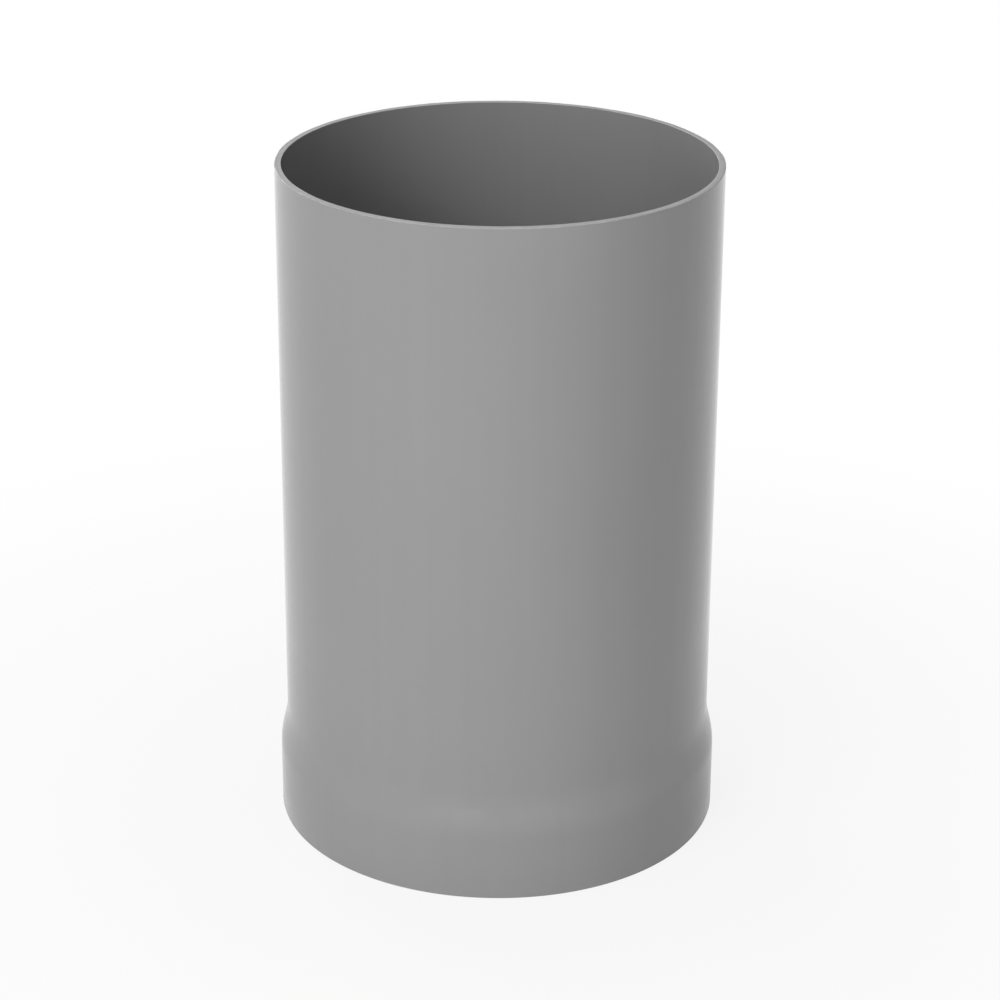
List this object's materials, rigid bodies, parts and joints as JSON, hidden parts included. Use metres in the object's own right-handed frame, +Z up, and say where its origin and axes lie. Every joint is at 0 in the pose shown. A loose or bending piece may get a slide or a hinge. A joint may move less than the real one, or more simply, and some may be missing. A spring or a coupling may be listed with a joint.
{
  "type": "gully riser ring",
  "caption": "Short plain-ended grey plastic pipe with an expanded socket at its foot and a smooth shoulder, which raises a floor or yard gully to level.",
  "frame": {"origin": "on the ring's axis, in the plane of the foot, where it stands", "axes": "+Z up the axis, from the socket at the foot to the plain rim at the top; the ring is the same all round, so X and Y are free"},
  "size_m": [0.2068, 0.2068, 0.316],
  "materials": {
    "grey_pvc": "satin extruded rigid PVC, rougher and a little paler on the sawn rim"
  },
  "bodies": {
    "root": {"riser_ring": "grey_pvc"}
  },
  "joints": []
}
